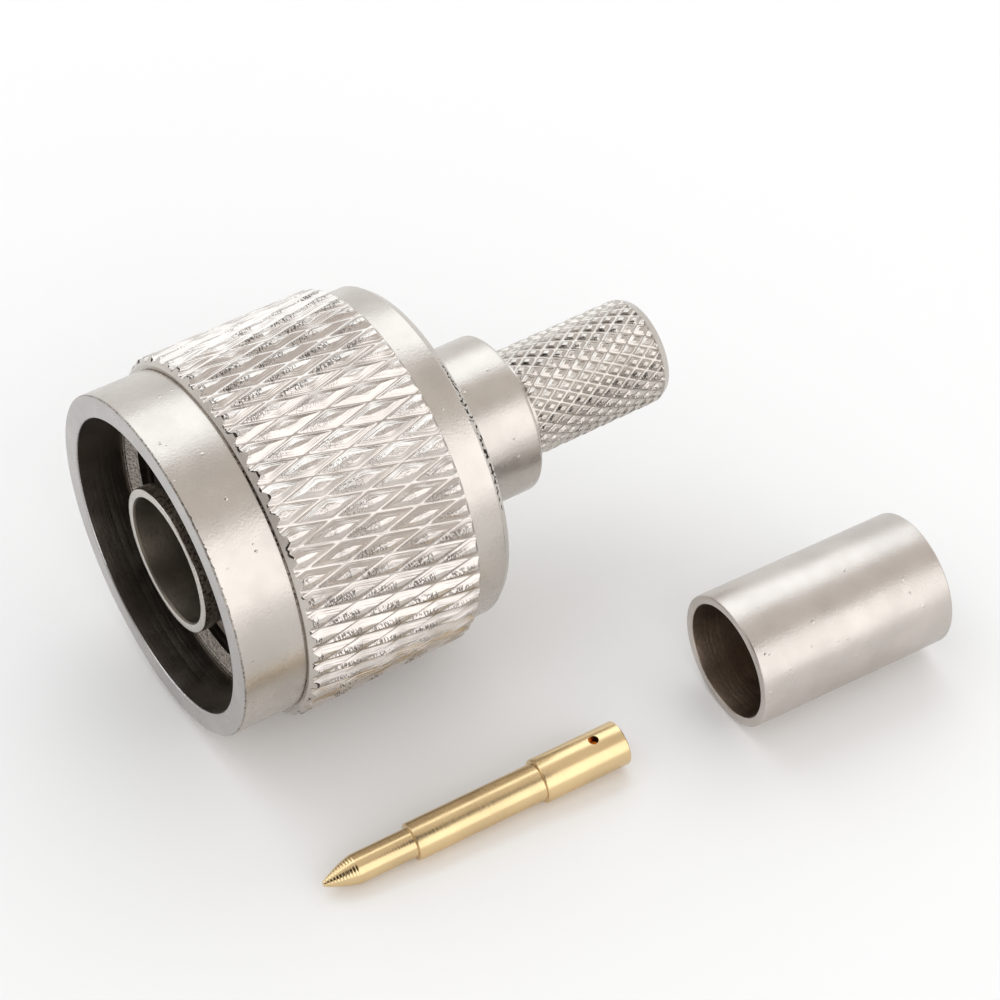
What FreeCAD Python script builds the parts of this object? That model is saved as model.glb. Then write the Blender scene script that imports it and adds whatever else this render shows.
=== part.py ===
import FreeCAD, Part
import math
import os

# A coaxial plug of the N series, for crimping, laid out with its contact pin and its ferrule.
# The plug's axis is X. The origin is on it, at the front of the outer contact, which is the plane
# that the series measures from. +X runs to the cable, and +Z is up. All sizes are in millimetres.

# Coupling nut, outside
RIM_X = -0.80
RING_R = 9.50
RIM_BREAK = 0.10
KNURL_START_X = 2.78
KNURL_END_X = 12.80
COLLAR_R = 9.45
NUT_END_X = 15.05
COLLAR_BEVEL_LENGTH = 0.40
COLLAR_BEVEL_DEPTH = 0.30

# Diamond knurl of the nut: two crossing sets of grooves, between them flat-topped pyramids
KNURL_ROOT_R = 9.86
KNURL_TOP_R = 10.08
# The band's two ends are bevelled at 45 degrees, from these radii up
KNURL_START_R = 9.72
KNURL_END_R = 9.90
KNURL_TEETH = 54
KNURL_HALF_PITCH = 2.25
KNURL_FIRST_CROSSING_X = 3.50
# A pyramid of every second row points straight down, so that the nut lies on their flats
KNURL_ANGLE = 270.0
KNURL_FLAT_SHARE = 0.32

# Coupling nut, inside, for the 5/8-24 thread
MOUTH_R = 8.24
MOUTH_BREAK = 0.10
MOUTH_DEPTH_X = 1.85
THREAD_START_X = 2.35
THREAD_R = 7.40
THREAD_END_X = 9.40
RELIEF_R = 8.05
RELIEF_END_X = 10.80
NUT_BORE_R = 6.90

# Outer contact: a tube with a lip, on a thicker root and a disc that the gasket lies against
CONTACT_LIP_R = 4.03
CONTACT_LIP_LENGTH = 0.75
CONTACT_TUBE_R = 3.93
CONTACT_BORE_R = 3.50
CONTACT_SEAT_R = 3.70
CONTACT_ROOT_X = 5.80
CONTACT_ROOT_R = 4.40
CONTACT_EDGE = 0.08
DISC_FRONT_X = 7.10
DISC_REAR_X = 8.60
DISC_R = 7.20
SPIGOT_R = 5.20

# Gasket
GASKET_INNER_R = 4.60
GASKET_OUTER_R = 7.00
GASKET_LENGTH = 1.30

# Insulator: a bush held between a step in the outer contact and the body
INSULATOR_FRONT_X = 5.35
INSULATOR_END_X = 12.80
INSULATOR_BORE_R = 1.06

# Body with its crimp stem
BODY_FLANGE_END_X = 10.55
HUB_R = 6.83
HUB_END_X = 14.60
BOSS_R = 4.50
BOSS_END_X = 20.30
BOSS_BREAK = 0.20
CHAMBER_R = 2.80
CHAMBER_END_X = 17.80
STEM_R = 3.05
STEM_NECK_R = 2.85
STEM_NECK_LENGTH = 0.50
STEM_END_X = 29.70
STEM_BEVEL_LENGTH = 0.45
STEM_BEVEL_DEPTH = 0.25
STEM_BORE_R = 2.00

# Snap ring, with its groove in the hub and its recess in the nut
SNAP_START_X = 12.30
SNAP_LENGTH = 0.80
SNAP_INNER_R = 6.30
SNAP_OUTER_R = 7.35
SNAP_GAP = 2.50
HUB_GROOVE_R = 6.20
NUT_RECESS_R = 7.60
GROOVE_PLAY = 0.10

# Contact pin
PIN_TIP_R = 0.80
PIN_MIDDLE_R = 1.03
PIN_BARREL_R = 1.22
PIN_NOSE_R = 0.12
PIN_CONE_LENGTH = 1.80
PIN_FIRST_SHOULDER = 5.07
PIN_SECOND_SHOULDER = 12.56
PIN_LENGTH = 17.57
PIN_EDGE = 0.08
PIN_SOLDER_BORE_R = 0.75
PIN_SOLDER_BORE_DEPTH = 4.20
PIN_SIGHT_HOLE_R = 0.28
PIN_SIGHT_HOLE_FROM_END = 1.60

# Crimp ferrule
FERRULE_OUTER_R = 3.75
FERRULE_INNER_R = 3.22
FERRULE_LENGTH = 12.00
FERRULE_BREAK = 0.10

# How the loose pieces lie on the surface, seen from above
FLOOR_Z = -KNURL_TOP_R
LOOSE_PIECES_ANGLE = -2.65
PIN_TIP_X = -0.58
PIN_TIP_Y = -15.95
FERRULE_FRONT_X = 23.57
FERRULE_FRONT_Y = -16.90

FULL_TURN = 360.0
# How far a cutting shape stands out past what it cuts
CUT_MARGIN = 1.0

X_AXIS = FreeCAD.Vector(1, 0, 0)
Y_AXIS = FreeCAD.Vector(0, 1, 0)
Z_AXIS = FreeCAD.Vector(0, 0, 1)
ORIGIN = FreeCAD.Vector(0, 0, 0)


def turned(outline):
    """A solid turned about X from a closed outline of (x, radius) corners."""
    corners = [FreeCAD.Vector(x, 0, radius) for x, radius in outline]
    wire = Part.makePolygon(corners + corners[:1])
    return Part.Face(wire).revolve(ORIGIN, X_AXIS, FULL_TURN)


def tube(start_x, end_x, outer_r, inner_r, edge=0.0):
    """A turned tube, with its outer edges broken by a small chamfer where edge is given."""
    if edge == 0.0:
        return turned([(start_x, inner_r), (start_x, outer_r), (end_x, outer_r), (end_x, inner_r)])
    return turned([
        (start_x, inner_r),
        (start_x, outer_r - edge),
        (start_x + edge, outer_r),
        (end_x - edge, outer_r),
        (end_x, outer_r - edge),
        (end_x, inner_r),
    ])


def polar(x, radius, degrees):
    angle = math.radians(degrees)
    return FreeCAD.Vector(x, radius * math.cos(angle), radius * math.sin(angle))


def triangle(a, b, c):
    return Part.Face(Part.makePolygon([a, b, c, a]))


def pyramid_faces(x, degrees, half_length, half_angle):
    """The faces of one flat-topped pyramid, whose long diagonal runs along X."""
    base = [
        polar(x - half_length, KNURL_ROOT_R, degrees),
        polar(x, KNURL_ROOT_R, degrees + half_angle),
        polar(x + half_length, KNURL_ROOT_R, degrees),
        polar(x, KNURL_ROOT_R, degrees - half_angle),
    ]
    flat_length = KNURL_FLAT_SHARE * half_length
    flat_angle = KNURL_FLAT_SHARE * half_angle
    top = [
        polar(x - flat_length, KNURL_TOP_R, degrees),
        polar(x, KNURL_TOP_R, degrees + flat_angle),
        polar(x + flat_length, KNURL_TOP_R, degrees),
        polar(x, KNURL_TOP_R, degrees - flat_angle),
    ]
    faces = []
    for i in range(4):
        k = (i + 1) % 4
        faces.append(triangle(base[i], base[k], top[k]))
        faces.append(triangle(base[i], top[k], top[i]))
    faces.append(triangle(top[0], top[1], top[2]))
    faces.append(triangle(top[0], top[2], top[3]))
    return faces


def knurled_bar():
    """A bar covered with pyramids in staggered rows, longer than the knurled band is."""
    half_angle = FULL_TURN / KNURL_TEETH / 2
    rows_before = math.ceil((KNURL_FIRST_CROSSING_X - KNURL_START_X) / KNURL_HALF_PITCH)
    rows_after = math.ceil((KNURL_END_X - KNURL_FIRST_CROSSING_X) / KNURL_HALF_PITCH)
    faces = []
    for row in range(-rows_before, rows_after + 1):
        x = KNURL_FIRST_CROSSING_X + row * KNURL_HALF_PITCH
        stagger = half_angle if row % 2 == 0 else 0.0
        end = {-rows_before: -1, rows_after: 1}.get(row, 0)
        for tooth in range(KNURL_TEETH):
            degrees = KNURL_ANGLE + stagger + 2 * half_angle * tooth
            faces += pyramid_faces(x, degrees, KNURL_HALF_PITCH, half_angle)
            if end:
                centre = FreeCAD.Vector(x, 0, 0)
                point = polar(x + end * KNURL_HALF_PITCH, KNURL_ROOT_R, degrees)
                for side in (-half_angle, half_angle):
                    faces.append(triangle(centre, point, polar(x, KNURL_ROOT_R, degrees + side)))
    shell = Part.makeShell(faces)
    shell.sewShape()
    return Part.makeSolid(shell)


def coupling_nut():
    blank = turned([
        (KNURL_START_X, 0),
        (KNURL_START_X, KNURL_START_R),
        (KNURL_START_X + CUT_MARGIN, KNURL_START_R + CUT_MARGIN),
        (KNURL_END_X - CUT_MARGIN, KNURL_END_R + CUT_MARGIN),
        (KNURL_END_X, KNURL_END_R),
        (KNURL_END_X, 0),
    ])
    band = knurled_bar().common(blank)
    front = turned([
        (RIM_X, 0),
        (RIM_X, RING_R - RIM_BREAK),
        (RIM_X + RIM_BREAK, RING_R),
        (KNURL_START_X, RING_R),
        (KNURL_START_X, 0),
    ])
    collar = turned([
        (KNURL_END_X, 0),
        (KNURL_END_X, COLLAR_R),
        (NUT_END_X - COLLAR_BEVEL_LENGTH, COLLAR_R),
        (NUT_END_X, COLLAR_R - COLLAR_BEVEL_DEPTH),
        (NUT_END_X, 0),
    ])
    bore = turned([
        (RIM_X, 0),
        (RIM_X, MOUTH_R + MOUTH_BREAK),
        (RIM_X + MOUTH_BREAK, MOUTH_R),
        (MOUTH_DEPTH_X, MOUTH_R),
        (THREAD_START_X, THREAD_R),
        (THREAD_END_X, THREAD_R),
        (THREAD_END_X, RELIEF_R),
        (RELIEF_END_X, RELIEF_R),
        (RELIEF_END_X, NUT_BORE_R),
        (NUT_END_X, NUT_BORE_R),
        (NUT_END_X, 0),
    ])
    recess = tube(
        SNAP_START_X - GROOVE_PLAY,
        SNAP_START_X + SNAP_LENGTH + GROOVE_PLAY,
        NUT_RECESS_R,
        NUT_BORE_R - CUT_MARGIN,
    )
    return front.fuse(collar).fuse(band).cut(bore).cut(recess)


def outer_contact():
    return turned([
        (CONTACT_EDGE, CONTACT_LIP_R),
        (CONTACT_LIP_LENGTH, CONTACT_LIP_R),
        (CONTACT_LIP_LENGTH, CONTACT_TUBE_R),
        (CONTACT_ROOT_X, CONTACT_TUBE_R),
        (CONTACT_ROOT_X, CONTACT_ROOT_R),
        (DISC_FRONT_X, CONTACT_ROOT_R),
        (DISC_FRONT_X, DISC_R),
        (DISC_REAR_X, DISC_R),
        (DISC_REAR_X, SPIGOT_R),
        (INSULATOR_END_X, SPIGOT_R),
        (INSULATOR_END_X, CONTACT_SEAT_R),
        (INSULATOR_FRONT_X, CONTACT_SEAT_R),
        (INSULATOR_FRONT_X, CONTACT_BORE_R),
        (CONTACT_EDGE, CONTACT_BORE_R),
        (0, CONTACT_BORE_R + CONTACT_EDGE),
        (0, CONTACT_LIP_R - CONTACT_EDGE),
    ])


def gasket():
    return tube(DISC_FRONT_X - GASKET_LENGTH, DISC_FRONT_X, GASKET_OUTER_R, GASKET_INNER_R)


def insulator():
    return tube(INSULATOR_FRONT_X, INSULATOR_END_X, CONTACT_SEAT_R, INSULATOR_BORE_R)


def plug_body():
    body = turned([
        (DISC_REAR_X, SPIGOT_R),
        (DISC_REAR_X, DISC_R),
        (BODY_FLANGE_END_X, DISC_R),
        (BODY_FLANGE_END_X, HUB_R),
        (HUB_END_X, HUB_R),
        (HUB_END_X, BOSS_R),
        (BOSS_END_X - BOSS_BREAK, BOSS_R),
        (BOSS_END_X, BOSS_R - BOSS_BREAK),
        (BOSS_END_X, STEM_NECK_R),
        (BOSS_END_X + STEM_NECK_LENGTH, STEM_NECK_R),
        (BOSS_END_X + STEM_NECK_LENGTH, STEM_R),
        (STEM_END_X - STEM_BEVEL_LENGTH, STEM_R),
        (STEM_END_X, STEM_R - STEM_BEVEL_DEPTH),
        (STEM_END_X, STEM_BORE_R),
        (CHAMBER_END_X, STEM_BORE_R),
        (CHAMBER_END_X, CHAMBER_R),
        (INSULATOR_END_X, CHAMBER_R),
        (INSULATOR_END_X, SPIGOT_R),
    ])
    groove = tube(
        SNAP_START_X - GROOVE_PLAY,
        SNAP_START_X + SNAP_LENGTH + GROOVE_PLAY,
        HUB_R + CUT_MARGIN,
        HUB_GROOVE_R,
    )
    return body.cut(groove)


def snap_ring():
    ring = tube(SNAP_START_X, SNAP_START_X + SNAP_LENGTH, SNAP_OUTER_R, SNAP_INNER_R)
    corner = FreeCAD.Vector(SNAP_START_X - CUT_MARGIN, -SNAP_GAP / 2, 0)
    gap = Part.makeBox(SNAP_LENGTH + 2 * CUT_MARGIN, SNAP_GAP, SNAP_OUTER_R + CUT_MARGIN, corner)
    return ring.cut(gap)


def laid_down(shape, x, y, height, tilt=0.0):
    """The shape, made along X from the origin, moved to where it lies on the surface."""
    shape.rotate(ORIGIN, Y_AXIS, -tilt)
    shape.rotate(ORIGIN, Z_AXIS, LOOSE_PIECES_ANGLE)
    shape.translate(FreeCAD.Vector(x, y, FLOOR_Z + height))
    return shape


def contact_pin():
    pin = turned([
        (0, 0),
        (0, PIN_NOSE_R),
        (PIN_CONE_LENGTH, PIN_TIP_R),
        (PIN_FIRST_SHOULDER, PIN_TIP_R),
        (PIN_FIRST_SHOULDER, PIN_MIDDLE_R - PIN_EDGE),
        (PIN_FIRST_SHOULDER + PIN_EDGE, PIN_MIDDLE_R),
        (PIN_SECOND_SHOULDER, PIN_MIDDLE_R),
        (PIN_SECOND_SHOULDER, PIN_BARREL_R - PIN_EDGE),
        (PIN_SECOND_SHOULDER + PIN_EDGE, PIN_BARREL_R),
        (PIN_LENGTH - PIN_EDGE, PIN_BARREL_R),
        (PIN_LENGTH, PIN_BARREL_R - PIN_EDGE),
        (PIN_LENGTH, PIN_SOLDER_BORE_R),
        (PIN_LENGTH - PIN_SOLDER_BORE_DEPTH, PIN_SOLDER_BORE_R),
        (PIN_LENGTH - PIN_SOLDER_BORE_DEPTH, 0),
    ])
    sight_hole = Part.makeCylinder(
        PIN_SIGHT_HOLE_R,
        PIN_BARREL_R + CUT_MARGIN,
        FreeCAD.Vector(PIN_LENGTH - PIN_SIGHT_HOLE_FROM_END, 0, 0),
        Z_AXIS,
    )
    # The front corners of the middle length and of the barrel both touch the surface.
    tilt = math.atan2(PIN_BARREL_R - PIN_MIDDLE_R, PIN_SECOND_SHOULDER - PIN_FIRST_SHOULDER)
    height = PIN_MIDDLE_R * math.cos(tilt) - (PIN_FIRST_SHOULDER + PIN_EDGE) * math.sin(tilt)
    return laid_down(pin.cut(sight_hole), PIN_TIP_X, PIN_TIP_Y, height, math.degrees(tilt))


def crimp_ferrule():
    ferrule = tube(0, FERRULE_LENGTH, FERRULE_OUTER_R, FERRULE_INNER_R, FERRULE_BREAK)
    return laid_down(ferrule, FERRULE_FRONT_X, FERRULE_FRONT_Y, FERRULE_OUTER_R)


PIECES = {
    "coupling_nut": coupling_nut,
    "outer_contact": outer_contact,
    "gasket": gasket,
    "insulator": insulator,
    "plug_body": plug_body,
    "snap_ring": snap_ring,
    "contact_pin": contact_pin,
    "crimp_ferrule": crimp_ferrule,
}

os.makedirs("parts", exist_ok=True)
for name, make in PIECES.items():
    shape = make()
    shape.exportStep("parts/" + name + ".step")
    print(name, round(shape.Volume, 1), "mm3", len(shape.Faces), "faces", shape.isValid())
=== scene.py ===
import math

import bpy
from mathutils import Matrix, Vector


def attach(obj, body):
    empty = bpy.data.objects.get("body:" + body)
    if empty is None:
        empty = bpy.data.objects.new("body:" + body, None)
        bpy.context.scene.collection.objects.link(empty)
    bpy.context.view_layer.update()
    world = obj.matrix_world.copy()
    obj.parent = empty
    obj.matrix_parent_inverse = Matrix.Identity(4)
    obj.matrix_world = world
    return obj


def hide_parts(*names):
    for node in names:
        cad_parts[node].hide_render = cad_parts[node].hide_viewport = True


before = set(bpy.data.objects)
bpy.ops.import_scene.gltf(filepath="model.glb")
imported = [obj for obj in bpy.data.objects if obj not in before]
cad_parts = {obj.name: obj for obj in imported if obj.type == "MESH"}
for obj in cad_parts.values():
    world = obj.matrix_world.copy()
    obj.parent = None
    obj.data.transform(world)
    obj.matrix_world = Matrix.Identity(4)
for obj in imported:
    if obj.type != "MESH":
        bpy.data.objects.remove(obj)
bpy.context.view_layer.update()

# A crimp plug of the N series with its coupling nut, and beside it the loose contact pin and ferrule.
# Sizes are in millimetres, as in the part's own frame, and MM turns them into Blender's metres.
# X is the plug's axis and runs from the mouth to the crimp stem.
MM = 0.001

# Coupling nut, outside
RIM_X = -0.80
RING_R = 9.50
RING_EDGE = 0.10
KNURL_START_X = 2.78
KNURL_END_X = 12.80
COLLAR_R = 9.45
NUT_END_X = 15.05
COLLAR_BEVEL_LENGTH = 0.40
COLLAR_BEVEL_DEPTH = 0.30
PARTING_GROOVE_WIDTH = 0.05
PARTING_GROOVE_DEPTH = 0.06

# Diamond knurl of the nut, whose band is bevelled at 45 degrees from its two end radii up
KNURL_ROOT_R = 9.86
KNURL_TOP_R = 10.08
KNURL_START_R = 9.72
KNURL_END_R = 9.90
KNURL_TEETH = 54
KNURL_HALF_PITCH = 2.25
KNURL_CROSSING_X = 3.50
KNURL_ANGLE = 270.0
KNURL_STEPS = 10
KNURL_GROOVE_SHARE = 0.1
KNURL_FLAT_LENGTH = 0.40
KNURL_FLAT_WIDTH = 0.24
KNURL_GROOVE_LIFT = 0.013

# Coupling nut, inside
MOUTH_R = 8.24
MOUTH_EDGE = 0.10
MOUTH_DEPTH_X = 1.85
MOUTH_STEP_R = 8.02
MOUTH_STEP_X = 1.95
THREAD_START_X = 2.35
THREAD_R = 7.40
THREAD_DEPTH = 0.54
THREAD_PITCH = 25.4 / 24
THREAD_ROWS = 60
THREAD_END_X = 9.40
RELIEF_R = 8.05
RELIEF_END_X = 10.80
NUT_BORE_R = 6.90
RECESS_R = 7.60
RECESS_START_X = 12.20
RECESS_END_X = 13.20

# Outer contact
CONTACT_LIP_R = 4.03
CONTACT_LIP_LENGTH = 0.75
CONTACT_TUBE_R = 3.93
CONTACT_BORE_R = 3.50
CONTACT_EDGE = 0.08
CONTACT_INNER_EDGE = 0.16
CONTACT_SEAT_R = 3.70
CONTACT_ROOT_X = 5.80
CONTACT_ROOT_R = 4.40
DISC_FRONT_X = 7.10
DISC_REAR_X = 8.60
DISC_R = 7.20
SPIGOT_R = 5.20
INSULATOR_FRONT_X = 5.35
INSULATOR_END_X = 12.80

# Body with its crimp stem
BODY_FLANGE_END_X = 10.55
HUB_R = 6.83
HUB_END_X = 14.60
HUB_GROOVE_R = 6.20
BOSS_R = 4.50
BOSS_END_X = 20.30
BOSS_BREAK = 0.20
CHAMBER_R = 2.80
CHAMBER_END_X = 17.80
STEM_R = 3.05
STEM_NECK_R = 2.90
STEM_NECK_LENGTH = 0.50
STEM_END_X = 29.70
STEM_BEVEL_LENGTH = 0.45
STEM_BEVEL_DEPTH = 0.25
STEM_BORE_R = 2.00
STEM_KNURL_ROOT_R = 2.92
STEM_KNURL_START_X = 21.10
STEM_KNURL_END_X = 29.18
STEM_KNURL_CROSSING_X = 21.49
STEM_KNURL_TEETH = 26
STEM_KNURL_HALF_PITCH = 0.61
STEM_KNURL_ANGLE = 149.0
STEM_KNURL_STEPS = 6
STEM_KNURL_GROOVE_SHARE = 1 / 6
STEM_KNURL_FLAT_LENGTH = 1 / 3
STEM_KNURL_FLAT_WIDTH = 1 / 3
STEM_KNURL_GROOVE_LIFT = 0.01

# Contact pin
PIN_TIP_R = 0.80
PIN_MIDDLE_R = 1.03
PIN_BARREL_R = 1.22
PIN_NOSE_R = 0.12
PIN_CONE_LENGTH = 1.80
PIN_CONE_STEPS = 10
PIN_CONE_SWELL = 0.42
PIN_FIRST_SHOULDER = 5.07
PIN_SECOND_SHOULDER = 12.56
PIN_LENGTH = 17.57
PIN_EDGE = 0.08
PIN_SOLDER_BORE_R = 0.75
PIN_SOLDER_BORE_DEPTH = 4.20
PIN_SIGHT_HOLE_R = 0.28
PIN_SIGHT_HOLE_FROM_END = 1.60

# Crimp ferrule
FERRULE_OUTER_R = 3.75
FERRULE_INNER_R = 3.22
FERRULE_LENGTH = 12.00
FERRULE_BREAK = 0.10

# How the loose pieces lie on the floor
FLOOR_Z = -KNURL_TOP_R
LOOSE_PIECES_ANGLE = -2.65
PIN_TIP_X = -0.58
PIN_TIP_Y = -15.95
FERRULE_FRONT_X = 23.57
FERRULE_FRONT_Y = -16.90

# Mesh fineness
NUT_SEGMENTS = 216
SMALL_SEGMENTS = 128
EDGE_STEPS = 3
KNURL_CREASE = math.radians(13)
PLAIN_CREASE = math.radians(30)

# The camera, in millimetres
LENS = 104.4
SENSOR = 36.0
CAMERA_PLACE = (-41.78, -95.18, 107.81)
CAMERA_FORWARD = (0.3855, 0.5894, -0.7099)

# Colours
NICKEL = (0.575, 0.535, 0.49)
BRIGHT_NICKEL = (0.63, 0.585, 0.545)
SATIN_NICKEL = (0.58, 0.535, 0.495)
DULL_NICKEL = (0.42, 0.38, 0.34)
# A darker nickel for the contact's sides behind its lip
SLEEVE_SIDE_NICKEL = (0.34, 0.29, 0.245)
# Painted shade for the knurls' groove floors
GROOVE_SHADE_COLOUR = (0.16, 0.13, 0.105)
# Painted shade: a darker copy of nickel for the insides of the nut and the body
SHADED_INSIDE_NICKEL = (0.21, 0.178, 0.15)
RIM_NICKEL = (0.50, 0.48, 0.465)
# Painted shade: a darker copy of nickel for the contact's bore
SHADED_CONTACT_INSIDE = (0.16, 0.137, 0.11)
# Painted shade: a darker, browner copy of nickel for the ferrule's inside
SHADED_FERRULE_INSIDE = (0.32, 0.25, 0.195)
# Dark for specks and the knurl's bevel edge, and for painted dark reflections on edges and chatter marks
SOOT_AND_DARK_REFLECTION = (0.035, 0.028, 0.024)
GOLD = (0.76, 0.575, 0.32)
# Painted shade: a darker, more orange copy of the gold for the pin's hollows
HOLLOW_GOLD_SHADE = (0.72, 0.36, 0.08)
PTFE_WHITE = (0.85, 0.84, 0.80)
RUBBER_BLACK = (0.02, 0.02, 0.02)
BRONZE = (0.50, 0.30, 0.14)

# The side where edges get a painted dark reflection, and the side where the knurl's chatter marks are
# left without theirs, in degrees round the X axis from +Y towards +Z
DARK_REFLECTION_SIDE = 135
UNREFLECTED_MARKS_SIDE = 128

# The spacing of the rings that the tool left on the pin's tip
RING_SPACING = 0.16


class Skin:
    """A surface made of rings round the X axis, each joined to the one before it."""

    def __init__(self, start_degrees=0.0):
        self.start_angle = math.radians(start_degrees)
        self.points = []
        self.faces = []
        self.rings = []

    def ring(self, count, place):
        """Adds a ring of count points, where place(angle) gives a point's x and radius."""
        self.rings.append((len(self.points), count))
        for i in range(count):
            angle = self.start_angle + math.tau * i / count
            x, radius = place(angle)
            self.points.append((x * MM, radius * math.cos(angle) * MM, radius * math.sin(angle) * MM))
        if len(self.rings) > 1:
            self.join(self.rings[-2], self.rings[-1])

    def join(self, a, b):
        """Faces between two rings. One of them may have a whole number of times the other's points."""
        (first_a, count_a), (first_b, count_b) = a, b
        fewer = min(count_a, count_b)
        share_a, share_b = count_a // fewer, count_b // fewer
        for i in range(fewer):
            edge_a = [first_a + (i * share_a + n) % count_a for n in range(share_a + 1)]
            edge_b = [first_b + (i * share_b + n) % count_b for n in range(share_b + 1)]
            self.faces.append((*edge_a, *reversed(edge_b)))

    def split(self, falls):
        """Splits the last row of quads in two. falls(i) says which way the quad of column i goes."""
        count = self.rings[-1][1]
        quads = self.faces[-count:]
        del self.faces[-count:]
        for i, (a0, a1, b1, b0) in enumerate(quads):
            if falls(i):
                self.faces += [(a0, a1, b1), (a0, b1, b0)]
            else:
                self.faces += [(a0, a1, b0), (a1, b1, b0)]

    def turn(self, outline, count):
        for x, radius in outline:
            self.ring(count, lambda angle, x=x, radius=radius: (x, radius))

    def close(self):
        self.join(self.rings[-1], self.rings[0])

    def cap_ends(self):
        """Closes the first and the last ring with a flat face each."""
        first, count = self.rings[0]
        self.faces.append(tuple(reversed(range(first, first + count))))
        last, count = self.rings[-1]
        self.faces.append(tuple(range(last, last + count)))


class Knurl:
    """Two crossing sets of grooves round the X axis, which leave pyramids with a lens-shaped flat.

    The groove's half width and the flat's half length and half width are shares of the half pitches,
    and lift is how far the groove's floor rises from its middle to its sides, in millimetres.
    """

    def __init__(
        self, teeth, half_pitch, crossing_x, steps, root_r, top_r, groove, flat_length, flat_width, lift
    ):
        self.teeth = teeth
        self.half_pitch = half_pitch
        self.crossing_x = crossing_x
        self.steps = steps
        self.root_r = root_r
        self.top_r = top_r
        self.groove = groove
        self.flat_length = flat_length
        self.flat_width = flat_width
        self.lift = lift

    def offsets(self, x, turned_by):
        """How far a place is from its pyramid's centre, along and across, in half pitches."""
        along = (x - self.crossing_x) / self.half_pitch
        across = turned_by / (math.pi / self.teeth)
        first = (along + across) % 2 - 1
        second = (along - across) % 2 - 1
        return (first + second) / 2, (first - second) / 2

    def radius(self, x, turned_by):
        along, across = (abs(offset) for offset in self.offsets(x, turned_by))
        rise = 1 - along - across
        if rise <= self.groove:
            return self.root_r + self.lift * max(rise, 0.0) / self.groove
        lens = self.flat_width * max(1 - (along / self.flat_length) ** 2, 0.0)
        reach = 1 - self.groove - along
        ridge = min(reach / (1 - self.groove - self.flat_length), 1.0)
        side_r = self.root_r + self.lift
        return side_r + (self.top_r - side_r) * ridge * min((reach - across) / (reach - lens), 1.0)

    def columns(self, start_x, end_x, limit):
        """The places along X of the band's rings, which lie closer where limit(x) caps the knurl."""
        step = self.half_pitch / self.steps
        first = math.floor((start_x - self.crossing_x) / step) + 1
        last = math.ceil((end_x - self.crossing_x) / step) - 1
        places = [start_x] + [self.crossing_x + n * step for n in range(first, last + 1)] + [end_x]
        result = []
        for before, after in zip(places, places[1:]):
            parts = 4 if min(limit(before), limit(after)) < self.top_r else 1
            result += [before + (after - before) * n / parts for n in range(parts)]
        return result + [end_x]

    def add(self, skin, start_x, end_x, limit):
        """Adds the band from start_x to end_x to a skin. limit(x) caps the radius near the two ends."""
        count = self.teeth * 2 * self.steps
        before = None
        for x in self.columns(start_x, end_x, limit):
            skin.ring(count, lambda angle, x=x: (x, min(self.radius(x, angle - skin.start_angle), limit(x))))
            if before is not None:
                middle_x = (before + x) / 2

                def falls(i, middle_x=middle_x):
                    along, across = self.offsets(middle_x, math.tau * (i + 0.5) / count)
                    return along * across < 0

                skin.split(falls)
            before = x


def rounded(outline, radii, closed=False):
    """The outline with each corner rounded by its radius. An open outline keeps its two ends."""
    points = []
    count = len(outline)
    for i, (corner, radius) in enumerate(zip(outline, radii)):
        here = Vector(corner)
        if radius == 0 or (not closed and i in (0, count - 1)):
            points.append(tuple(here))
            continue
        back = (Vector(outline[i - 1]) - here).normalized()
        ahead = (Vector(outline[(i + 1) % count]) - here).normalized()
        half = back.angle(ahead) / 2
        centre = here + (back + ahead).normalized() * radius / math.sin(half)
        start = here + back * radius / math.tan(half) - centre
        end = here + ahead * radius / math.tan(half) - centre
        turn = start.angle_signed(end)
        for n in range(EDGE_STEPS + 1):
            spoke = start.copy()
            spoke.rotate(Matrix.Rotation(-turn * n / EDGE_STEPS, 2))
            points.append(tuple(centre + spoke))
    return points


def make_object(name, skin, materials, crease=PLAIN_CREASE, knurl=None):
    """An object of a skin, with its edges sharp above the crease angle, save in a knurl's grooves."""
    mesh = bpy.data.meshes.new(name)
    mesh.from_pydata(skin.points, [], skin.faces)
    mesh.update()
    mesh.polygons.foreach_set("use_smooth", [True] * len(mesh.polygons))
    mesh.set_sharp_from_angle(angle=crease)
    if knurl:
        floors = range(round(knurl.root_r * 1000) - 1, round((knurl.root_r + knurl.lift) * 1000) + 2)
        in_groove = [round(math.hypot(v.co.y, v.co.z) / MM * 1000) in floors for v in mesh.vertices]
        for edge in mesh.edges:
            if in_groove[edge.vertices[0]] and in_groove[edge.vertices[1]]:
                edge.use_edge_sharp = False
    for material in materials:
        mesh.materials.append(material)
    piece = bpy.data.objects.new(name, mesh)
    bpy.context.scene.collection.objects.link(piece)
    return piece


def paint(piece, choose):
    """Gives each face the material whose number choose(x, radius) returns, in millimetres."""
    for face in piece.data.polygons:
        centre = face.center / MM
        face.material_index = choose(centre.x, math.hypot(centre.y, centre.z))


def laid_down(x, y, height, tilt=0.0):
    """The matrix that lays a piece, made along X from the origin, on the floor."""
    place = Matrix.Translation(Vector((x, y, FLOOR_Z + height)) * MM)
    turn = Matrix.Rotation(math.radians(LOOSE_PIECES_ANGLE), 4, "Z")
    return place @ turn @ Matrix.Rotation(-tilt, 4, "Y")


pin_tilt = math.atan2(PIN_BARREL_R - PIN_MIDDLE_R, PIN_SECOND_SHOULDER - PIN_FIRST_SHOULDER)
pin_height = PIN_MIDDLE_R * math.cos(pin_tilt) - (PIN_FIRST_SHOULDER + PIN_EDGE) * math.sin(pin_tilt)
pin_laid = laid_down(PIN_TIP_X, PIN_TIP_Y, pin_height, pin_tilt)
ferrule_laid = laid_down(FERRULE_FRONT_X, FERRULE_FRONT_Y, FERRULE_OUTER_R)


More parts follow.
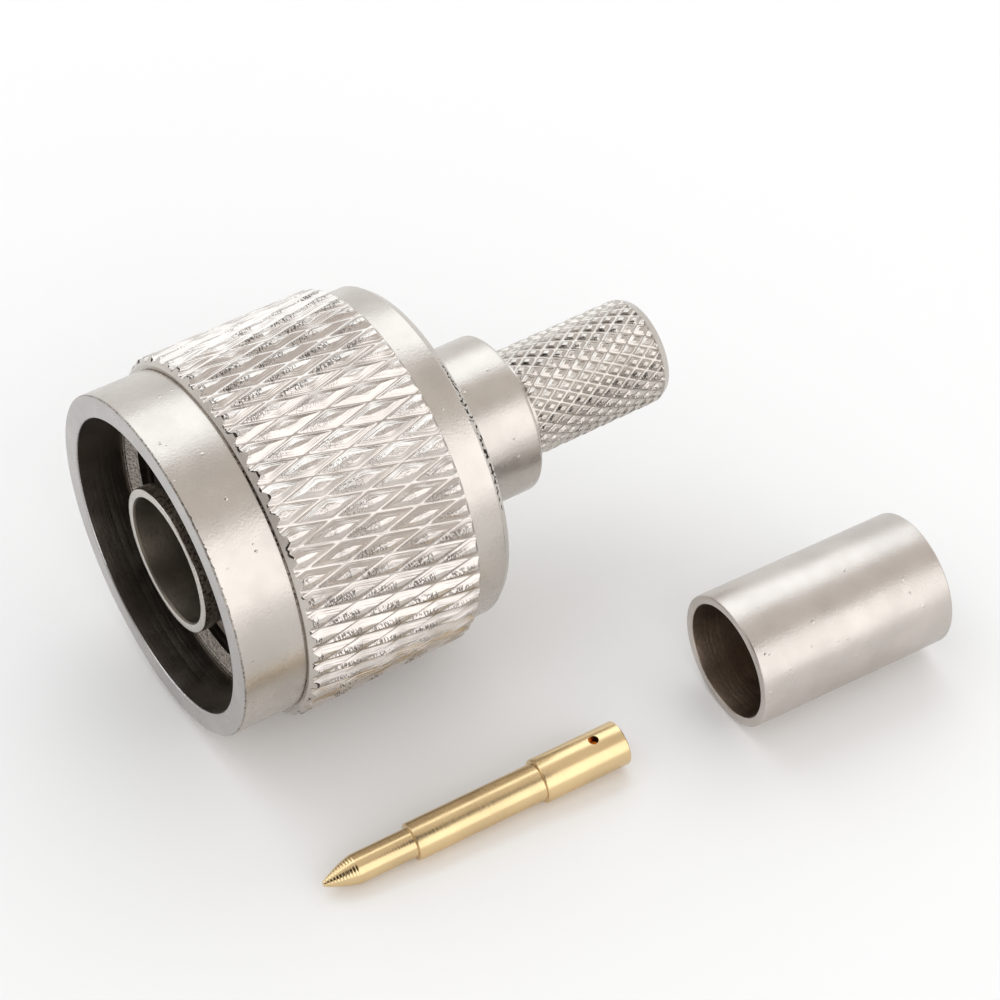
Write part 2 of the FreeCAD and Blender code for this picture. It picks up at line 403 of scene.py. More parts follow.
class Shade:
    """A material's node graph. Each method adds one node and returns its output."""

    def __init__(self, name):
        self.material = bpy.data.materials.new(name)
        self.material.use_nodes = True
        self.nodes = self.material.node_tree.nodes
        self.links = self.material.node_tree.links
        self.shader = self.nodes["Principled BSDF"]

    def feed(self, socket, value):
        if isinstance(value, bpy.types.NodeSocket):
            self.links.new(value, socket)
        elif isinstance(value, tuple) and socket.type == "RGBA":
            socket.default_value = (*value, 1.0)
        else:
            socket.default_value = value

    def place(self, laid=None):
        """The place on the piece. Where laid is given, it is the place before the piece was laid down."""
        spot = self.nodes.new("ShaderNodeTexCoord").outputs["Object"]
        if laid is None:
            return spot
        node = self.nodes.new("ShaderNodeMapping")
        node.vector_type = "TEXTURE"
        node.inputs["Location"].default_value = laid.to_translation()
        node.inputs["Rotation"].default_value = laid.to_euler()
        self.feed(node.inputs["Vector"], spot)
        return node.outputs[0]

    def split(self, vector):
        node = self.nodes.new("ShaderNodeSeparateXYZ")
        self.feed(node.inputs[0], vector)
        return node.outputs

    def combine(self, x, y, z=0.0):
        node = self.nodes.new("ShaderNodeCombineXYZ")
        for socket, value in zip(node.inputs, (x, y, z)):
            self.feed(socket, value)
        return node.outputs[0]

    def math(self, operation, a, b=0.0, c=0.0):
        node = self.nodes.new("ShaderNodeMath")
        node.operation = operation
        for socket, value in zip(node.inputs, (a, b, c)):
            self.feed(socket, value)
        return node.outputs[0]

    def noise(self, vector, scale, detail=2.0, roughness=0.5):
        node = self.nodes.new("ShaderNodeTexNoise")
        node.inputs["Scale"].default_value = scale
        node.inputs["Detail"].default_value = detail
        node.inputs["Roughness"].default_value = roughness
        self.feed(node.inputs["Vector"], vector)
        return node.outputs["Fac"]

    def cells(self, vector, scale):
        """The distance from the nearest of a set of scattered points."""
        node = self.nodes.new("ShaderNodeTexVoronoi")
        node.inputs["Scale"].default_value = scale
        self.feed(node.inputs["Vector"], vector)
        return node.outputs["Distance"]

    def spread(self, value, from_low, from_high, low, high):
        node = self.nodes.new("ShaderNodeMapRange")
        for socket, setting in zip(node.inputs, (value, from_low, from_high, low, high)):
            self.feed(socket, setting)
        return node.outputs["Result"]

    def mix(self, share, a, b):
        node = self.nodes.new("ShaderNodeMix")
        node.data_type = "RGBA"
        colours = [socket for socket in node.inputs if socket.type == "RGBA"]
        self.feed(node.inputs["Factor"], share)
        self.feed(colours[0], a)
        self.feed(colours[1], b)
        return next(socket for socket in node.outputs if socket.type == "RGBA")

    def bump(self, height, depth, normal=None):
        """Relief of the given depth in millimetres, on top of the normal where there is one."""
        node = self.nodes.new("ShaderNodeBump")
        node.inputs["Distance"].default_value = depth * MM
        self.feed(node.inputs["Height"], height)
        if normal is not None:
            self.feed(node.inputs["Normal"], normal)
        return node.outputs["Normal"]

    def finish(self, colour, roughness, normal=None, metallic=1.0):
        self.feed(self.shader.inputs["Base Color"], colour)
        self.feed(self.shader.inputs["Roughness"], roughness)
        self.shader.inputs["Metallic"].default_value = metallic
        if normal is not None:
            self.feed(self.shader.inputs["Normal"], normal)
        return self.material


def clouded(shade, place, colour, scale=350.0):
    """The colour, a little darker in soft patches."""
    share = shade.spread(shade.noise(place, scale, 3.0), 0.4, 0.7, 0.0, 1.0)
    return shade.mix(share, colour, tuple(0.88 * c for c in colour))


def turned_metal(
    name, colour, roughness, peel=0.0, grain=5200.0, lines=0.0, line_scale=6000.0,
    rings=0.0, pits=0.0, specks=0.0, edges=(), laid=None,
):
    """Turned and plated metal: orange peel, fine lines or even rings round X, small pits, dark specks.

    peel, lines, rings and pits are depths in millimetres. edges gives the places along X that get a
    painted dark reflection on one side, each with the reach of that reflection.
    """
    shade = Shade(name)
    place = shade.place(laid)
    x, y, z = shade.split(place)
    radius = shade.math("SQRT", shade.math("ADD", shade.math("MULTIPLY", y, y), shade.math("MULTIPLY", z, z)))
    base = clouded(shade, place, colour)
    rough = shade.spread(shade.noise(place, 900.0, 2.0), 0.3, 0.7, 0.85 * roughness, 1.15 * roughness)
    normal = None
    if lines:
        normal = shade.bump(shade.noise(shade.combine(x, radius), line_scale, 2.0), lines, normal)
    if rings:
        wave = shade.math("SINE", shade.math("MULTIPLY", x, math.tau / (RING_SPACING * MM)))
        normal = shade.bump(wave, rings, normal)
    if peel:
        normal = shade.bump(shade.noise(place, grain, 2.0, 0.6), peel, normal)
    if pits:
        pit = shade.spread(shade.cells(place, 1400.0), 0.04, 0.14, 1.0, 0.0)
        here = shade.spread(shade.noise(place, 500.0, 1.0), 0.48, 0.62, 0.0, 1.0)
        normal = shade.bump(shade.math("MULTIPLY", pit, here), pits, normal)
    if specks:
        base = shade.mix(shade.spread(shade.noise(place, 7000.0, 1.0), 0.46, 0.60, 0.0, specks), base, SOOT_AND_DARK_REFLECTION)
    # Painted dark reflection: each edge is darkened in a ragged band on the side turned toward the camera.
    toward = math.radians(DARK_REFLECTION_SIDE)
    upward = shade.math("MULTIPLY_ADD", y, math.cos(toward), shade.math("MULTIPLY", z, math.sin(toward)))
    reflecting_side = shade.spread(shade.math("DIVIDE", upward, radius), 0.88, 0.98, 0.0, 1.0)
    for edge_x, reflection_reach in edges:
        away = shade.math("ABSOLUTE", shade.math("SUBTRACT", x, edge_x * MM))
        ragged = shade.noise(place, 5200.0, 2.0)
        reach = shade.spread(ragged, 0.42, 0.62, -0.5 * reflection_reach * MM, reflection_reach * MM)
        painted_reflection = shade.math("LESS_THAN", away, shade.math("MULTIPLY", reach, reflecting_side))
        base = shade.mix(painted_reflection, base, SOOT_AND_DARK_REFLECTION)
        rough = shade.math("MAXIMUM", rough, shade.math("MULTIPLY", painted_reflection, 0.6))
    return shade.finish(base, rough, normal)


def knurled_metal(name, colour, roughness, knurl, start_degrees, cuts, chatter, chatter_length, bevel=None):
    """Metal of a knurl. Feed lines run along its grooves, and chatter marks cross some pyramids' fronts.

    cuts and chatter are depths and chatter_length is the marks' spacing, in millimetres. bevel is
    the place along X where the cone of the front bevel would reach the axis, and is a dark edge.
    """
    shade = Shade(name)
    place = shade.place()
    x, y, z = shade.split(place)
    along = shade.math("DIVIDE", shade.math("SUBTRACT", x, knurl.crossing_x * MM), knurl.half_pitch * MM)
    angle = shade.math("SUBTRACT", shade.math("ARCTAN2", z, y), math.radians(start_degrees))
    across = shade.math("DIVIDE", angle, math.pi / knurl.teeth)
    first = shade.math("WRAP", shade.math("SUBTRACT", shade.math("ADD", along, across), 1.0), 1.0, -1.0)
    second = shade.math("WRAP", shade.math("SUBTRACT", shade.math("SUBTRACT", along, across), 1.0), 1.0, -1.0)
    deepest = shade.math("MAXIMUM", shade.math("ABSOLUTE", first), shade.math("ABSOLUTE", second))
    rise = shade.math("SUBTRACT", 1.0, deepest)

    feed = shade.combine(
        shade.math("MULTIPLY", rise, 9.0),
        shade.math("MULTIPLY", along, 0.6),
        shade.math("MULTIPLY", across, 0.35),
    )
    feed_line = shade.noise(feed, 1.0, 2.0, 0.55)
    normal = shade.bump(feed_line, cuts)

    ahead = shade.math("MULTIPLY", shade.math("ADD", first, second), 0.5)
    beside = shade.math("MULTIPLY", shade.math("SUBTRACT", first, second), 0.5)
    front_half = shade.math(
        "MULTIPLY", shade.spread(ahead, -0.85, -0.6, 0.0, 1.0), shade.math("LESS_THAN", ahead, -0.03)
    )
    inner = shade.spread(shade.math("ABSOLUTE", beside), 0.25, 0.45, 1.0, 0.0)
    patch = shade.spread(shade.noise(place, 240.0, 1.0), 0.44, 0.56, 0.1, 1.0)
    marked = shade.math("MULTIPLY", shade.math("MULTIPLY", front_half, inner), patch)
    rows = shade.combine(
        shade.math("DIVIDE", x, chatter_length * MM), shade.math("MULTIPLY", beside, 3.0), across
    )
    marks = shade.spread(shade.noise(rows, 1.0, 1.0), 0.50, 0.57, 0.0, 1.0)
    marks = shade.math("MULTIPLY", marks, marked)
    normal = shade.bump(marks, chatter, normal)
    normal = shade.bump(shade.noise(place, 4200.0, 2.0), 0.0012, normal)

    base = clouded(shade, place, colour, 500.0)
    base = shade.mix(shade.spread(feed_line, 0.56, 0.70, 0.0, 0.5), base, DULL_NICKEL)
    # Painted shade: the groove floors are darkened, more and more toward the bottom of the piece.
    shade_below = shade.spread(z, -0.05 * knurl.top_r * MM, -0.4 * knurl.top_r * MM, 0.15, 0.9)
    groove_shade = shade.math("MULTIPLY", shade.spread(rise, 0.0, 0.06, 1.0, 0.0), shade_below)
    base = shade.mix(groove_shade, base, GROOVE_SHADE_COLOUR)
    radius = shade.math("SQRT", shade.math("ADD", shade.math("MULTIPLY", y, y), shade.math("MULTIPLY", z, z)))
    # Painted dark reflection: the chatter marks are painted dark except on the side turned toward the camera.
    toward = math.radians(UNREFLECTED_MARKS_SIDE)
    upward = shade.math("MULTIPLY_ADD", y, math.cos(toward), shade.math("MULTIPLY", z, math.sin(toward)))
    reflection_share = shade.spread(shade.math("DIVIDE", upward, radius), 0.97, 0.88, 0.0, 0.75)
    base = shade.mix(shade.math("MULTIPLY", marks, reflection_share), base, SOOT_AND_DARK_REFLECTION)
    if bevel is not None:
        inside = shade.math("SUBTRACT", shade.math("SUBTRACT", x, radius), bevel * MM)
        reach = shade.spread(shade.noise(place, 2200.0, 1.0), 0.48, 0.66, -0.02 * MM, 0.10 * MM)
        base = shade.mix(shade.math("LESS_THAN", inside, reach), base, SOOT_AND_DARK_REFLECTION)
    rough = shade.spread(shade.noise(place, 900.0, 2.0), 0.3, 0.7, 0.8 * roughness, 1.2 * roughness)
    return shade.finish(base, rough, normal)


def plain_material(name, colour, roughness, grain):
    shade = Shade(name)
    place = shade.place()
    normal = shade.bump(shade.noise(place, 2500.0), grain)
    return shade.finish(clouded(shade, place, colour, 600.0), roughness, normal, metallic=0.0)


nut_knurl = Knurl(
    KNURL_TEETH, KNURL_HALF_PITCH, KNURL_CROSSING_X, KNURL_STEPS,
    KNURL_ROOT_R, KNURL_TOP_R, KNURL_GROOVE_SHARE, KNURL_FLAT_LENGTH, KNURL_FLAT_WIDTH, KNURL_GROOVE_LIFT,
)
stem_knurl = Knurl(
    STEM_KNURL_TEETH, STEM_KNURL_HALF_PITCH, STEM_KNURL_CROSSING_X, STEM_KNURL_STEPS,
    STEM_KNURL_ROOT_R, STEM_R,
    STEM_KNURL_GROOVE_SHARE, STEM_KNURL_FLAT_LENGTH, STEM_KNURL_FLAT_WIDTH, STEM_KNURL_GROOVE_LIFT,
)

# The rim's outer edge and the collar's bevel carry a painted dark reflection on one side.
nut_nickel = turned_metal(
    "nut_nickel", NICKEL, 0.27, peel=0.009, grain=7000.0, lines=0.003, pits=0.025,
    edges=((RIM_X + RING_EDGE / 2, 0.09), (NUT_END_X - COLLAR_BEVEL_LENGTH / 2, 0.19)),
)
rim_nickel = turned_metal("rim_nickel", RIM_NICKEL, 0.30, peel=0.02, pits=0.03)
rim_edge = turned_metal("rim_edge", DULL_NICKEL, 0.35, peel=0.03, specks=0.6)
knurl_nickel = knurled_metal(
    "knurl_nickel", BRIGHT_NICKEL, 0.11, nut_knurl, KNURL_ANGLE, 0.022, 0.024, 0.075,
    bevel=KNURL_START_X - KNURL_START_R,
)
# Painted shade: the insides of the nut and the body are a much darker copy of their nickel.
shaded_inside_nickel = turned_metal("shaded_inside_nickel", SHADED_INSIDE_NICKEL, 0.34, peel=0.012, lines=0.03, line_scale=2500.0)
step_nickel = turned_metal("step_nickel", DULL_NICKEL, 0.30, peel=0.05, lines=0.02, specks=0.5)
# The parting groove carries a painted dark reflection on one side.
groove_nickel = turned_metal(
    "groove_nickel", DULL_NICKEL, 0.4, edges=((KNURL_START_X - PARTING_GROOVE_WIDTH / 2, 0.08),)
)
contact_nickel = turned_metal("contact_nickel", NICKEL, 0.24, peel=0.012, lines=0.004, pits=0.02, specks=0.15)
# The contact's sides behind its front lip are a darker nickel than the lip, with dark specks.
contact_side = turned_metal("contact_side", SLEEVE_SIDE_NICKEL, 0.35, peel=0.04, specks=0.75)
# Painted shade: the contact's bore is a much darker copy of its nickel.
shaded_contact_inside = turned_metal(
    "shaded_contact_inside", SHADED_CONTACT_INSIDE, 0.45, peel=0.01, lines=0.01, line_scale=2500.0
)
body_nickel = turned_metal("body_nickel", NICKEL, 0.28, peel=0.009, grain=7000.0, lines=0.003, pits=0.025)
stem_nickel = knurled_metal("stem_nickel", NICKEL, 0.15, stem_knurl, STEM_KNURL_ANGLE, 0.012, 0.008, 0.06)
ferrule_nickel = turned_metal(
    "ferrule_nickel", SATIN_NICKEL, 0.32, peel=0.010, grain=9000.0, lines=0.003, pits=0.02, laid=ferrule_laid
)
# Painted shade: the ferrule's inside is a darker, browner copy of its nickel.
shaded_ferrule_inside = turned_metal(
    "shaded_ferrule_inside", SHADED_FERRULE_INSIDE, 0.38, peel=0.012, lines=0.01, laid=ferrule_laid
)
gold = turned_metal(
    "gold", GOLD, 0.25, peel=0.003, grain=9000.0, lines=0.003, line_scale=9000.0, laid=pin_laid
)
gold_tip = turned_metal("gold_tip", GOLD, 0.22, peel=0.003, rings=0.0006, laid=pin_laid)
gold_cone = turned_metal("gold_cone", GOLD, 0.16, peel=0.003, rings=0.006, laid=pin_laid)
# Painted shade: the solder bore and the sight hole are a darker, more orange copy of the gold.
shaded_hollow_gold = turned_metal("shaded_hollow_gold", HOLLOW_GOLD_SHADE, 0.3, peel=0.003, laid=pin_laid)
bronze = turned_metal("bronze", BRONZE, 0.30, lines=0.002)
white_ptfe = plain_material("white_ptfe", PTFE_WHITE, 0.45, 0.002)
black_rubber = plain_material("black_rubber", RUBBER_BLACK, 0.6, 0.004)


def make_nut():
    skin = Skin(KNURL_ANGLE)
    front = [
        (MOUTH_DEPTH_X, MOUTH_R), (RIM_X, MOUTH_R), (RIM_X, RING_R),
        (KNURL_START_X - PARTING_GROOVE_WIDTH, RING_R),
        (KNURL_START_X - PARTING_GROOVE_WIDTH, RING_R - PARTING_GROOVE_DEPTH),
        (KNURL_START_X, RING_R - PARTING_GROOVE_DEPTH),
        (KNURL_START_X, KNURL_START_R),
    ]
    skin.turn(rounded(front, [0, MOUTH_EDGE, RING_EDGE, 0.04, 0, 0, 0])[1:-1], NUT_SEGMENTS)

    def limit(x):
        from_front = KNURL_START_R + x - KNURL_START_X
        from_rear = KNURL_END_R + KNURL_END_X - x
        return min(from_front, from_rear)

    nut_knurl.add(skin, KNURL_START_X, KNURL_END_X, limit)
    rear = [
        (KNURL_END_X, COLLAR_R), (NUT_END_X - COLLAR_BEVEL_LENGTH, COLLAR_R),
        (NUT_END_X, COLLAR_R - COLLAR_BEVEL_DEPTH), (NUT_END_X, NUT_BORE_R), (RECESS_END_X, NUT_BORE_R),
    ]
    skin.turn(rounded(rear, [0, 0.06, 0.03, 0.05, 0]), NUT_SEGMENTS)
    inside = [
        (RECESS_END_X, RECESS_R), (RECESS_START_X, RECESS_R), (RECESS_START_X, NUT_BORE_R),
        (RELIEF_END_X, NUT_BORE_R), (RELIEF_END_X, RELIEF_R), (THREAD_END_X, RELIEF_R),
    ]
    skin.turn(inside, NUT_SEGMENTS)
    for row in range(THREAD_ROWS + 1):
        x = THREAD_END_X + (THREAD_START_X - THREAD_END_X) * row / THREAD_ROWS
        depth = THREAD_DEPTH * min(1.0, max(0.0, (x - THREAD_START_X) / THREAD_PITCH))

        def thread(angle, x=x, depth=depth):
            phase = (x / THREAD_PITCH - angle / math.tau) % 1.0
            return x, THREAD_R + depth * min(max(3.2 * abs(phase - 0.5) - 0.3, 0.0), 1.0)

        skin.ring(NUT_SEGMENTS, thread)
    step = [
        (THREAD_START_X, THREAD_R), (MOUTH_STEP_X, MOUTH_STEP_R), (MOUTH_DEPTH_X, MOUTH_STEP_R),
        (MOUTH_DEPTH_X, MOUTH_R + 0.05), (MOUTH_DEPTH_X - 0.06, MOUTH_R + 0.05),
        (MOUTH_DEPTH_X - 0.06, MOUTH_R),
    ]
    skin.turn(rounded(step, [0, 0.04, 0.04, 0, 0, 0])[1:], NUT_SEGMENTS)
    skin.close()
    nut = make_object(
        "nut", skin,
        [nut_nickel, knurl_nickel, shaded_inside_nickel, step_nickel, groove_nickel, rim_nickel, rim_edge],
        KNURL_CREASE, nut_knurl,
    )

    def choose(x, radius):
        if radius < MOUTH_R + 0.1 and RIM_X + 0.12 < x < NUT_END_X - 0.1:
            return 3 if MOUTH_DEPTH_X - 0.01 < x < THREAD_START_X - 0.05 else 2
        if KNURL_START_X - PARTING_GROOVE_WIDTH < x <= KNURL_START_X and radius < RING_R - 0.02:
            return 4
        if x < RIM_X + RING_EDGE - 0.02:
            return 5 if x < RIM_X + 0.01 or radius < RING_R - RING_EDGE else 6
        on_band = KNURL_START_X < x < KNURL_END_X and radius > KNURL_ROOT_R - 0.01
        return 1 if on_band and radius < limit(x) - 0.003 else 0

    paint(nut, choose)
    return nut


def make_outer_contact():
    skin = Skin()
    outline = [
        (0, CONTACT_BORE_R), (0, CONTACT_LIP_R), (CONTACT_LIP_LENGTH, CONTACT_LIP_R),
        (CONTACT_LIP_LENGTH, CONTACT_TUBE_R), (CONTACT_ROOT_X, CONTACT_TUBE_R),
        (CONTACT_ROOT_X, CONTACT_ROOT_R), (DISC_FRONT_X, CONTACT_ROOT_R),
        (DISC_FRONT_X, DISC_R), (DISC_REAR_X, DISC_R), (DISC_REAR_X, SPIGOT_R),
        (INSULATOR_END_X, SPIGOT_R), (INSULATOR_END_X, CONTACT_SEAT_R),
        (INSULATOR_FRONT_X, CONTACT_SEAT_R), (INSULATOR_FRONT_X, CONTACT_BORE_R),
    ]
    radii = [CONTACT_INNER_EDGE, CONTACT_EDGE, 0.02, 0.02, 0, 0.05, 0, 0.05, 0, 0, 0, 0, 0, 0]
    skin.turn(rounded(outline, radii, closed=True), SMALL_SEGMENTS)
    skin.close()
    contact = make_object("outer_contact_tube", skin, [contact_nickel, contact_side, shaded_contact_inside])

    def choose(x, radius):
        if x < CONTACT_EDGE:
            return 0 if radius > CONTACT_BORE_R + CONTACT_INNER_EDGE / 2 else 2
        return 2 if radius < CONTACT_SEAT_R else 1

    paint(contact, choose)
    return contact


def make_body():
    skin = Skin(STEM_KNURL_ANGLE)
    segments = STEM_KNURL_TEETH * STEM_KNURL_STEPS
    neck_end_x = BOSS_END_X + STEM_NECK_LENGTH
    front = [
        (DISC_REAR_X, SPIGOT_R), (DISC_REAR_X, DISC_R), (BODY_FLANGE_END_X, DISC_R),
        (BODY_FLANGE_END_X, HUB_R), (RECESS_START_X, HUB_R), (RECESS_START_X, HUB_GROOVE_R),
        (RECESS_END_X, HUB_GROOVE_R), (RECESS_END_X, HUB_R), (HUB_END_X, HUB_R),
        (HUB_END_X, BOSS_R), (BOSS_END_X, BOSS_R), (BOSS_END_X, STEM_NECK_R),
        (neck_end_x, STEM_NECK_R), (STEM_KNURL_START_X, STEM_KNURL_ROOT_R),
    ]
    radii = [0, 0.05, 0.05, 0, 0, 0, 0, 0, 0.1, 0.12, BOSS_BREAK, 0.05, 0, 0]
    skin.turn(rounded(front, radii)[:-1], segments)

    def limit(x):
        return min(STEM_KNURL_ROOT_R + 0.6 * (x - STEM_KNURL_START_X), STEM_R)

    stem_knurl.add(skin, STEM_KNURL_START_X, STEM_KNURL_END_X, limit)
    bevel_x = STEM_END_X - STEM_BEVEL_LENGTH
    rear = [
        (bevel_x, STEM_R - 0.03), (STEM_END_X, STEM_R - STEM_BEVEL_DEPTH), (STEM_END_X, STEM_BORE_R),
        (CHAMBER_END_X, STEM_BORE_R), (CHAMBER_END_X, CHAMBER_R),
        (INSULATOR_END_X, CHAMBER_R), (INSULATOR_END_X, SPIGOT_R),
    ]
    skin.turn(rounded(rear, [0, 0.12, 0.05, 0.05, 0.05, 0, 0]), segments)
    skin.close()
    materials = [body_nickel, stem_nickel, shaded_inside_nickel]
    body = make_object("plug_body_turned", skin, materials, KNURL_CREASE, stem_knurl)

    def choose(x, radius):
        if STEM_KNURL_START_X < x < STEM_KNURL_END_X and radius > STEM_KNURL_ROOT_R - 0.02:
            return 1
        bore_r = CHAMBER_R if x < CHAMBER_END_X else STEM_BORE_R
        return 2 if radius < bore_r and x < STEM_END_X - 0.05 else 0

    paint(body, choose)
    return body


def make_ferrule():
    skin = Skin()
    outline = [
        (0, FERRULE_INNER_R), (0, FERRULE_OUTER_R),
        (FERRULE_LENGTH, FERRULE_OUTER_R), (FERRULE_LENGTH, FERRULE_INNER_R),
    ]
    skin.turn(rounded(outline, [FERRULE_BREAK] * len(outline), closed=True), SMALL_SEGMENTS)
    skin.close()
    ferrule = make_object("ferrule_tube", skin, [ferrule_nickel, shaded_ferrule_inside])
    paint(ferrule, lambda x, radius: 1 if radius < FERRULE_INNER_R + 0.01 else 0)
    ferrule.data.transform(ferrule_laid)
    return ferrule


def drilled(piece, x, radius, reach, material):
    """Cuts an upright hole into the top of a piece that is made along the X axis."""
    bpy.ops.mesh.primitive_cylinder_add(
        vertices=48, radius=radius * MM, depth=reach * MM, location=(x * MM, 0, reach * MM / 2)
    )
    drill = bpy.context.object
    drill.data.materials.append(material)
    cut = piece.modifiers.new("hole", "BOOLEAN")
    cut.object = drill
    graph = bpy.context.evaluated_depsgraph_get()
    mesh = bpy.data.meshes.new_from_object(piece.evaluated_get(graph))
    piece.modifiers.clear()
    piece.data = mesh
    bpy.data.objects.remove(drill)


def make_pin():
    skin = Skin()
    bore_end = PIN_LENGTH - PIN_SOLDER_BORE_DEPTH
    shares = [n / PIN_CONE_STEPS for n in range(1, PIN_CONE_STEPS)]
    cone = [
        (PIN_CONE_LENGTH * t, PIN_NOSE_R + (PIN_TIP_R - PIN_NOSE_R) * (t + PIN_CONE_SWELL * t * (1 - t)))
        for t in shares
    ]
    outline = [
        (0, 0.03), (0, PIN_NOSE_R), *cone, (PIN_CONE_LENGTH, PIN_TIP_R), (PIN_FIRST_SHOULDER, PIN_TIP_R),
        (PIN_FIRST_SHOULDER, PIN_MIDDLE_R), (PIN_SECOND_SHOULDER, PIN_MIDDLE_R),
        (PIN_SECOND_SHOULDER, PIN_BARREL_R), (PIN_LENGTH, PIN_BARREL_R),
        (PIN_LENGTH, PIN_SOLDER_BORE_R), (bore_end, PIN_SOLDER_BORE_R), (bore_end, 0.10),
    ]
    radii = [0, 0.06, *[0] * len(cone), 0.5, 0.03, PIN_EDGE, 0.02, PIN_EDGE, PIN_EDGE, 0.03, 0, 0]
    skin.turn(rounded(outline, radii), SMALL_SEGMENTS)
    skin.cap_ends()
    pin = make_object("pin_gold", skin, [gold, gold_tip, shaded_hollow_gold, gold_cone])
    drilled(pin, PIN_LENGTH - PIN_SIGHT_HOLE_FROM_END, PIN_SIGHT_HOLE_R, 2 * PIN_BARREL_R, shaded_hollow_gold)

    def choose(x, radius):
        if x < PIN_FIRST_SHOULDER:
            return 3 if x < PIN_CONE_LENGTH else 1
        inside = bore_end - 0.01 < x < PIN_LENGTH - 0.04 and radius < PIN_BARREL_R - 0.06
        return 2 if inside else 0

    paint(pin, choose)
    pin.data.transform(pin_laid)
    return pin


pieces = (
    (make_nut, "nut", "coupling_nut", "nut_plate"),
    (make_outer_contact, "plug", "outer_contact", "body_plate"),
    (make_body, "plug", "plug_body", "body_plate"),
    (make_ferrule, "plug", "crimp_ferrule", "ferrule_plate"),
    (make_pin, "plug", "contact_pin", "gold_plate"),
)
for make, body_name, node, slot in pieces:
    piece = make()
    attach(piece, body_name)
    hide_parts(node)

for node, material in (("insulator", white_ptfe), ("gasket", black_rubber), ("snap_ring", bronze)):
    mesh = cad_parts[node].data
    mesh.materials.clear()
    mesh.materials.append(material)

# Studio: distances in metres, angles in degrees round the plug's axis from +Y towards +Z. The cards
# are seen in reflections only. The dark one gives the knurls' facets their contrast.
LAMP_DISTANCE = 0.6
LAMP_LENGTH = 1.0
LAMP_X = 0.15
BACK_LAMP = (30, 74)
BACK_LAMP_COLOUR = (0.80, 0.88, 0.95)
FRONT_LAMP = (131, 192)
FRONT_LAMP_COLOUR = (0.80, 0.79, 0.80)
CEILING_DISTANCE = 0.9
CEILING = (77, 127)
CEILING_COLOUR = (0.80, 0.755, 0.72)
SIDE_DISTANCE = 0.9
SIDE_HEIGHT = 0.5
SIDE_COLOUR = (0.62, 0.60, 0.58)
SHADE_DISTANCE = 0.5
SHADE_TOWARD = (-0.392, -0.519, 0.760)
SHADE_RADIUS = 0.232
SHADE_CORNERS = 32
SHADE_COLOUR = (0.012, 0.010, 0.009)
WORLD_ON_MATT = 0.80
FLOOR_COLOUR = (0.935, 0.92, 0.905)
FLOOR_REACH = 0.6


def direction(degrees):
    return Vector((0, math.cos(math.radians(degrees)), math.sin(math.radians(degrees))))


def facing(vector, axis):
    return Vector(vector).to_track_quat(axis, "Y").to_euler()


def half_width(distance, span):
    return distance * math.tan(math.radians(span[1] - span[0]) / 2)


def add_lamp(name, span, colour):
    lamp = bpy.data.lights.new(name, "AREA")
    lamp.shape = "RECTANGLE"
    lamp.size = LAMP_LENGTH
    lamp.size_y = 2 * half_width(LAMP_DISTANCE, span)
    lamp.color = colour
    lamp.energy = math.pi * lamp.size * lamp.size_y
    middle = direction((span[0] + span[1]) / 2)
    box = bpy.data.objects.new(name, lamp)
    box.location = middle * LAMP_DISTANCE + Vector((LAMP_X, 0, 0))
    across = Vector((1, 0, 0))
    box.rotation_euler = Matrix((across, middle.cross(across), middle)).transposed().to_euler()
    box.visible_camera = False
    bpy.context.scene.collection.objects.link(box)


add_lamp("back_lamp", BACK_LAMP, BACK_LAMP_COLOUR)
add_lamp("front_lamp", FRONT_LAMP, FRONT_LAMP_COLOUR)


def add_card(name, corners, colour):
    """A card that only polished surfaces show. It takes no light from anything else."""
    mesh = bpy.data.meshes.new(name)
    mesh.from_pydata(corners, [], [tuple(range(len(corners)))])
    shade = Shade(name + "_face")
    glow = shade.nodes.new("ShaderNodeEmission")
    glow.inputs["Color"].default_value = (*colour, 1.0)
    shade.links.new(glow.outputs[0], shade.nodes["Material Output"].inputs["Surface"])
    mesh.materials.append(shade.material)
    card = bpy.data.objects.new(name, mesh)
    card.visible_camera = False
    card.visible_diffuse = False
    card.visible_shadow = False
    bpy.context.scene.collection.objects.link(card)


ceiling_middle = direction((CEILING[0] + CEILING[1]) / 2)
ceiling_side = ceiling_middle.cross(Vector((1, 0, 0))) * half_width(CEILING_DISTANCE, CEILING)
ceiling_corners = [
    ceiling_middle * CEILING_DISTANCE + ceiling_side * side + Vector((x, 0, 0))
    for side, x in ((-1, -1.5), (-1, 2.5), (1, 2.5), (1, -1.5))
]
add_card("ceiling", ceiling_corners, CEILING_COLOUR)
side_corners = [
    (-SIDE_DISTANCE, y * SIDE_DISTANCE, z)
    for y, z in ((-1, 0), (1, 0), (1, SIDE_HEIGHT), (-1, SIDE_HEIGHT))
]
add_card("side", side_corners, SIDE_COLOUR)

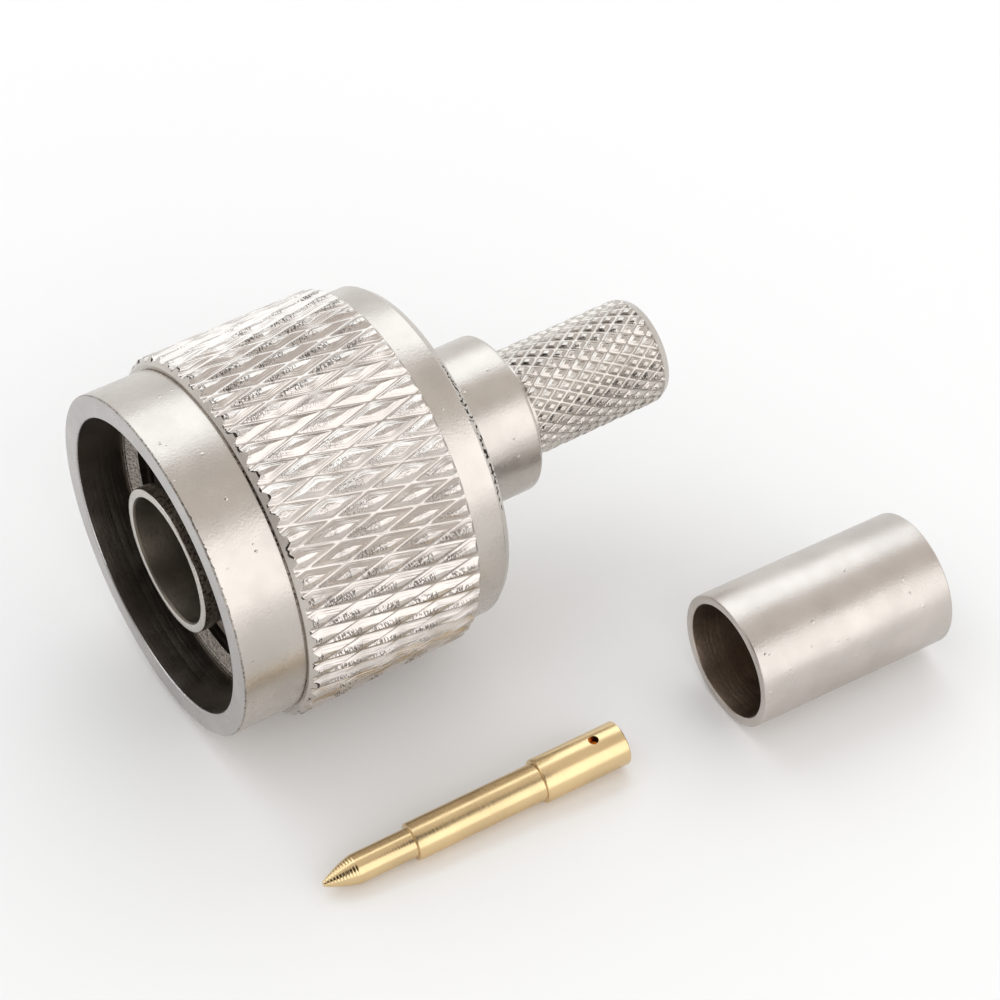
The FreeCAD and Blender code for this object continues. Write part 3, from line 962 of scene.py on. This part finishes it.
back = Vector(SHADE_TOWARD).normalized()
right = back.orthogonal().normalized()
up = back.cross(right)
shade_corners = []
for n in range(SHADE_CORNERS):
    turn = math.tau * n / SHADE_CORNERS
    shade_corners.append(
        back * SHADE_DISTANCE + (right * math.cos(turn) + up * math.sin(turn)) * SHADE_RADIUS
    )
add_card("camera_shade", shade_corners, SHADE_COLOUR)

world = bpy.data.worlds.new("studio")
bpy.context.scene.world = world
world.use_nodes = True
sky, sky_links = world.node_tree.nodes, world.node_tree.links
ray = sky.new("ShaderNodeLightPath")
shown = ray.outputs["Is Camera Ray"]
for kind in ("Is Glossy Ray", "Is Transmission Ray"):
    either = sky.new("ShaderNodeMath")
    either.operation = "MAXIMUM"
    sky_links.new(shown, either.inputs[0])
    sky_links.new(ray.outputs[kind], either.inputs[1])
    shown = either.outputs[0]
strength = sky.new("ShaderNodeMapRange")
strength.inputs["To Min"].default_value = WORLD_ON_MATT
sky_links.new(shown, strength.inputs["Value"])
background = sky["Background"]
background.inputs["Color"].default_value = (1, 1, 1, 1)
sky_links.new(strength.outputs["Result"], background.inputs["Strength"])

floor_mesh = bpy.data.meshes.new("floor")
floor_corners = [
    (x * FLOOR_REACH, y * FLOOR_REACH, FLOOR_Z * MM) for x, y in ((-1, -1), (1, -1), (1, 1), (-1, 1))
]
floor_mesh.from_pydata(floor_corners, [], [(0, 1, 2, 3)])
floor = bpy.data.objects.new("floor", floor_mesh)
bpy.context.scene.collection.objects.link(floor)
pale = Shade("pale_floor")
floor_mesh.materials.append(pale.finish(FLOOR_COLOUR, 0.9, metallic=0.0))
pale.shader.inputs["Specular IOR Level"].default_value = 0.0

camera_data = bpy.data.cameras.new("camera")
camera_data.lens = LENS
camera_data.sensor_width = SENSOR
camera_data.clip_start = 0.005
camera = bpy.data.objects.new("camera", camera_data)
camera.location = Vector(CAMERA_PLACE) * MM
camera.rotation_euler = facing(CAMERA_FORWARD, "-Z")
bpy.context.scene.collection.objects.link(camera)
bpy.context.scene.camera = camera
bpy.context.scene.view_settings.view_transform = "Standard"
